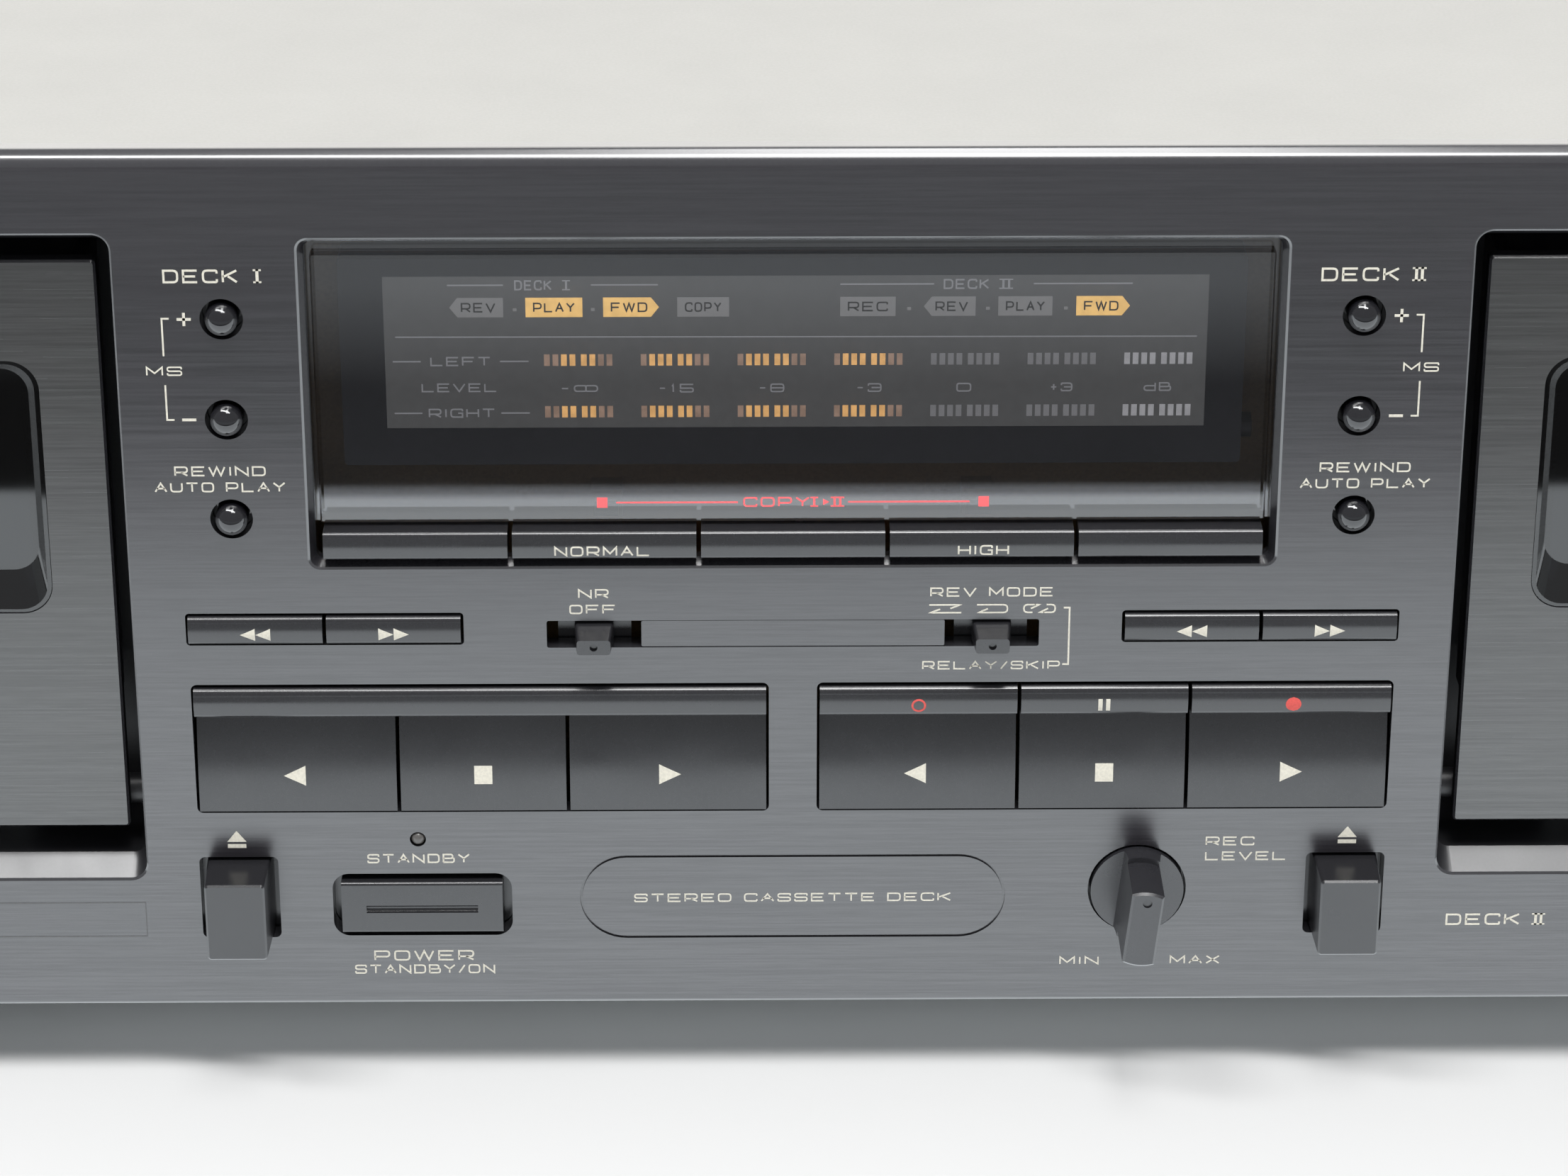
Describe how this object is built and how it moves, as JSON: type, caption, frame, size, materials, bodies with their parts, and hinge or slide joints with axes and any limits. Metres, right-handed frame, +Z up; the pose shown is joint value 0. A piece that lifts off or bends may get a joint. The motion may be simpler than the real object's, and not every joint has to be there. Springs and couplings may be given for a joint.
{
  "type": "cassette duplicator",
  "caption": "Full-width black cassette duplicator with two tape decks, a level display, transport keys and a level knob.",
  "frame": {"origin": "centre of the footprint, on the surface that the feet stand on", "axes": "+X to the right as seen from the front, +Y from the front panel to the back, +Z up"},
  "size_m": [0.4224, 0.255, 0.1292],
  "materials": {
    "panel_black": "fine brushed satin black",
    "door_black": "brushed satin black",
    "key_black": "satin black",
    "dome_black": "polished black",
    "lens_smoke": "smoked clear acrylic",
    "tube_glass": "dark glass",
    "lamp_red": "tinted clear, unlit",
    "cover_black": "fine textured black paint",
    "chassis_steel": "zinc plated",
    "foot_black": "matt",
    "screw_black": "black oxide",
    "board_tan": "laminate board",
    "core_iron": "varnished laminations",
    "socket_black": "moulded, plated sleeves",
    "carrier_black": "moulded satin",
    "reel_white": "acetal",
    "wheel_steel": "turned",
    "pulley_brass": "turned",
    "frame_steel": "zinc plated",
    "motor_steel": "plated can",
    "belt_rubber": "matt",
    "bridge_steel": "stamped"
  },
  "bodies": {
    "case": {"front_panel": "panel_black", "display_lens": "lens_smoke", "display_tube": "tube_glass", "trim_caps": "key_black", "standby_lamp": "lamp_red", "top_cover": "cover_black", "base_chassis": "chassis_steel", "feet": "foot_black", "case_screws": "screw_black", "circuit_boards": "board_tan", "transformer": "core_iron", "rear_sockets": "socket_black", "deck_frames": "frame_steel", "deck_motors": "motor_steel", "drive_belts": "belt_rubber"},
    "power_button": {"power_button": "key_black"},
    "copy_normal_key": {"copy_normal_key": "key_black"},
    "copy_high_key": {"copy_high_key": "key_black"},
    "record_mute_key": {"record_mute_key": "key_black"},
    "pause_key": {"pause_key": "key_black"},
    "record_key": {"record_key": "key_black"},
    "deck_1_reverse_key": {"deck_1_reverse_key": "key_black"},
    "deck_1_stop_key": {"deck_1_stop_key": "key_black"},
    "deck_1_play_key": {"deck_1_play_key": "key_black"},
    "deck_1_rewind_key": {"deck_1_rewind_key": "key_black"},
    "deck_1_forward_key": {"deck_1_forward_key": "key_black"},
    "deck_1_search_plus": {"deck_1_search_plus": "dome_black"},
    "deck_1_search_minus": {"deck_1_search_minus": "dome_black"},
    "deck_1_auto_play": {"deck_1_auto_play": "dome_black"},
    "deck_2_reverse_key": {"deck_2_reverse_key": "key_black"},
    "deck_2_stop_key": {"deck_2_stop_key": "key_black"},
    "deck_2_play_key": {"deck_2_play_key": "key_black"},
    "deck_2_rewind_key": {"deck_2_rewind_key": "key_black"},
    "deck_2_forward_key": {"deck_2_forward_key": "key_black"},
    "deck_2_search_plus": {"deck_2_search_plus": "dome_black"},
    "deck_2_search_minus": {"deck_2_search_minus": "dome_black"},
    "deck_2_auto_play": {"deck_2_auto_play": "dome_black"},
    "eject_button_1": {"eject_button_1": "key_black"},
    "eject_button_2": {"eject_button_2": "key_black"},
    "nr_slider": {"nr_slider": "key_black"},
    "reverse_slider": {"reverse_slider": "key_black"},
    "level_knob": {"level_knob": "key_black"},
    "door_1": {"door_1_panel": "door_black", "door_1_window": "lens_smoke", "door_1_carrier": "carrier_black"},
    "deck_1_left_reel": {"deck_1_left_reel": "reel_white"},
    "deck_1_left_capstan": {"deck_1_left_capstan": "wheel_steel"},
    "deck_1_right_reel": {"deck_1_right_reel": "reel_white"},
    "deck_1_right_capstan": {"deck_1_right_capstan": "wheel_steel"},
    "deck_1_motor_pulley": {"deck_1_motor_pulley": "pulley_brass"},
    "deck_1_head_bridge": {"deck_1_head_bridge": "bridge_steel"},
    "door_2": {"door_2_panel": "door_black", "door_2_window": "lens_smoke", "door_2_carrier": "carrier_black"},
    "deck_2_left_reel": {"deck_2_left_reel": "reel_white"},
    "deck_2_left_capstan": {"deck_2_left_capstan": "wheel_steel"},
    "deck_2_right_reel": {"deck_2_right_reel": "reel_white"},
    "deck_2_right_capstan": {"deck_2_right_capstan": "wheel_steel"},
    "deck_2_motor_pulley": {"deck_2_motor_pulley": "pulley_brass"},
    "deck_2_head_bridge": {"deck_2_head_bridge": "bridge_steel"}
  },
  "joints": [
    {"name": "power_button_press", "type": "slide", "parent": "case", "child": "power_button", "axis": [0, 1, 0], "range_m": [0, 0.0018], "stiffness_N_per_m": 600, "springref_m": -0.0005},
    {"name": "copy_normal_key_press", "type": "slide", "parent": "case", "child": "copy_normal_key", "axis": [0, 1, 0], "range_m": [0, 0.0012], "stiffness_N_per_m": 600, "springref_m": -0.0005},
    {"name": "copy_high_key_press", "type": "slide", "parent": "case", "child": "copy_high_key", "axis": [0, 1, 0], "range_m": [0, 0.0012], "stiffness_N_per_m": 600, "springref_m": -0.0005},
    {"name": "record_mute_key_press", "type": "slide", "parent": "case", "child": "record_mute_key", "axis": [0, 1, 0], "range_m": [0, 0.0012], "stiffness_N_per_m": 600, "springref_m": -0.0005},
    {"name": "pause_key_press", "type": "slide", "parent": "case", "child": "pause_key", "axis": [0, 1, 0], "range_m": [0, 0.0012], "stiffness_N_per_m": 600, "springref_m": -0.0005},
    {"name": "record_key_press", "type": "slide", "parent": "case", "child": "record_key", "axis": [0, 1, 0], "range_m": [0, 0.0012], "stiffness_N_per_m": 600, "springref_m": -0.0005},
    {"name": "deck_1_reverse_key_press", "type": "slide", "parent": "case", "child": "deck_1_reverse_key", "axis": [0, 1, 0], "range_m": [0, 0.0012], "stiffness_N_per_m": 600, "springref_m": -0.0005},
    {"name": "deck_1_stop_key_press", "type": "slide", "parent": "case", "child": "deck_1_stop_key", "axis": [0, 1, 0], "range_m": [0, 0.0012], "stiffness_N_per_m": 600, "springref_m": -0.0005},
    {"name": "deck_1_play_key_press", "type": "slide", "parent": "case", "child": "deck_1_play_key", "axis": [0, 1, 0], "range_m": [0, 0.0012], "stiffness_N_per_m": 600, "springref_m": -0.0005},
    {"name": "deck_1_rewind_key_press", "type": "slide", "parent": "case", "child": "deck_1_rewind_key", "axis": [0, 1, 0], "range_m": [0, 0.0012], "stiffness_N_per_m": 600, "springref_m": -0.0005},
    {"name": "deck_1_forward_key_press", "type": "slide", "parent": "case", "child": "deck_1_forward_key", "axis": [0, 1, 0], "range_m": [0, 0.0012], "stiffness_N_per_m": 600, "springref_m": -0.0005},
    {"name": "deck_1_search_plus_press", "type": "slide", "parent": "case", "child": "deck_1_search_plus", "axis": [0, 1, 0], "range_m": [0, 0.0012], "stiffness_N_per_m": 600, "springref_m": -0.0005},
    {"name": "deck_1_search_minus_press", "type": "slide", "parent": "case", "child": "deck_1_search_minus", "axis": [0, 1, 0], "range_m": [0, 0.0012], "stiffness_N_per_m": 600, "springref_m": -0.0005},
    {"name": "deck_1_auto_play_press", "type": "slide", "parent": "case", "child": "deck_1_auto_play", "axis": [0, 1, 0], "range_m": [0, 0.0012], "stiffness_N_per_m": 600, "springref_m": -0.0005},
    {"name": "deck_2_reverse_key_press", "type": "slide", "parent": "case", "child": "deck_2_reverse_key", "axis": [0, 1, 0], "range_m": [0, 0.0012], "stiffness_N_per_m": 600, "springref_m": -0.0005},
    {"name": "deck_2_stop_key_press", "type": "slide", "parent": "case", "child": "deck_2_stop_key", "axis": [0, 1, 0], "range_m": [0, 0.0012], "stiffness_N_per_m": 600, "springref_m": -0.0005},
    {"name": "deck_2_play_key_press", "type": "slide", "parent": "case", "child": "deck_2_play_key", "axis": [0, 1, 0], "range_m": [0, 0.0012], "stiffness_N_per_m": 600, "springref_m": -0.0005},
    {"name": "deck_2_rewind_key_press", "type": "slide", "parent": "case", "child": "deck_2_rewind_key", "axis": [0, 1, 0], "range_m": [0, 0.0012], "stiffness_N_per_m": 600, "springref_m": -0.0005},
    {"name": "deck_2_forward_key_press", "type": "slide", "parent": "case", "child": "deck_2_forward_key", "axis": [0, 1, 0], "range_m": [0, 0.0012], "stiffness_N_per_m": 600, "springref_m": -0.0005},
    {"name": "deck_2_search_plus_press", "type": "slide", "parent": "case", "child": "deck_2_search_plus", "axis": [0, 1, 0], "range_m": [0, 0.0012], "stiffness_N_per_m": 600, "springref_m": -0.0005},
    {"name": "deck_2_search_minus_press", "type": "slide", "parent": "case", "child": "deck_2_search_minus", "axis": [0, 1, 0], "range_m": [0, 0.0012], "stiffness_N_per_m": 600, "springref_m": -0.0005},
    {"name": "deck_2_auto_play_press", "type": "slide", "parent": "case", "child": "deck_2_auto_play", "axis": [0, 1, 0], "range_m": [0, 0.0012], "stiffness_N_per_m": 600, "springref_m": -0.0005},
    {"name": "eject_button_1_press", "type": "slide", "parent": "case", "child": "eject_button_1", "axis": [0, 1, 0], "range_m": [0, 0.0025], "stiffness_N_per_m": 600, "springref_m": -0.0005},
    {"name": "eject_button_2_press", "type": "slide", "parent": "case", "child": "eject_button_2", "axis": [0, 1, 0], "range_m": [0, 0.0025], "stiffness_N_per_m": 600, "springref_m": -0.0005},
    {"name": "nr_slider_slide", "type": "slide", "parent": "case", "child": "nr_slider", "axis": [1, 0, 0], "range_m": [-0.0031, 0.0031]},
    {"name": "reverse_slider_slide", "type": "slide", "parent": "case", "child": "reverse_slider", "axis": [1, 0, 0], "range_m": [-0.0031, 0.0031]},
    {"name": "level_knob_turn", "type": "hinge", "parent": "case", "child": "level_knob", "pos_m": [0.0452, -0.116, 0.0269], "axis": [0, 1, 0], "range_deg": [-156, 144]},
    {"name": "door_1_swing", "type": "hinge", "parent": "case", "child": "door_1", "pos_m": [-0.1411, -0.1094, 0.039], "axis": [1, 0, 0], "range_deg": [0, 28]},
    {"name": "deck_1_left_reel_spin", "type": "hinge", "parent": "case", "child": "deck_1_left_reel", "pos_m": [-0.16235, -0.093, 0.0846], "axis": [0, 1, 0], "continuous": true},
    {"name": "deck_1_left_capstan_spin", "type": "hinge", "parent": "case", "child": "deck_1_left_capstan", "pos_m": [-0.1741, -0.093, 0.0561], "axis": [0, 1, 0], "continuous": true},
    {"name": "deck_1_right_reel_spin", "type": "hinge", "parent": "case", "child": "deck_1_right_reel", "pos_m": [-0.11985, -0.093, 0.0846], "axis": [0, 1, 0], "continuous": true},
    {"name": "deck_1_right_capstan_spin", "type": "hinge", "parent": "case", "child": "deck_1_right_capstan", "pos_m": [-0.1081, -0.093, 0.0561], "axis": [0, 1, 0], "continuous": true},
    {"name": "deck_1_motor_pulley_spin", "type": "hinge", "parent": "case", "child": "deck_1_motor_pulley", "pos_m": [-0.1411, -0.093, 0.098], "axis": [0, 1, 0], "continuous": true},
    {"name": "deck_1_head_bridge_lift", "type": "slide", "parent": "case", "child": "deck_1_head_bridge", "axis": [0, 0, 1], "range_m": [0, 0.006]},
    {"name": "door_2_swing", "type": "hinge", "parent": "case", "child": "door_2", "pos_m": [0.1411, -0.1094, 0.039], "axis": [1, 0, 0], "range_deg": [0, 28]},
    {"name": "deck_2_left_reel_spin", "type": "hinge", "parent": "case", "child": "deck_2_left_reel", "pos_m": [0.11985, -0.093, 0.0846], "axis": [0, 1, 0], "continuous": true},
    {"name": "deck_2_left_capstan_spin", "type": "hinge", "parent": "case", "child": "deck_2_left_capstan", "pos_m": [0.1081, -0.093, 0.0561], "axis": [0, 1, 0], "continuous": true},
    {"name": "deck_2_right_reel_spin", "type": "hinge", "parent": "case", "child": "deck_2_right_reel", "pos_m": [0.16235, -0.093, 0.0846], "axis": [0, 1, 0], "continuous": true},
    {"name": "deck_2_right_capstan_spin", "type": "hinge", "parent": "case", "child": "deck_2_right_capstan", "pos_m": [0.1741, -0.093, 0.0561], "axis": [0, 1, 0], "continuous": true},
    {"name": "deck_2_motor_pulley_spin", "type": "hinge", "parent": "case", "child": "deck_2_motor_pulley", "pos_m": [0.1411, -0.093, 0.098], "axis": [0, 1, 0], "continuous": true},
    {"name": "deck_2_head_bridge_lift", "type": "slide", "parent": "case", "child": "deck_2_head_bridge", "axis": [0, 0, 1], "range_m": [0, 0.006]}
  ],
  "couplings": [
    {"joint": "deck_1_right_capstan_spin", "follows": "deck_1_left_capstan_spin", "ratio": 1},
    {"joint": "deck_1_motor_pulley_spin", "follows": "deck_1_left_capstan_spin", "ratio": 4.5632},
    {"joint": "deck_2_right_capstan_spin", "follows": "deck_2_left_capstan_spin", "ratio": 1},
    {"joint": "deck_2_motor_pulley_spin", "follows": "deck_2_left_capstan_spin", "ratio": 4.5632}
  ]
}
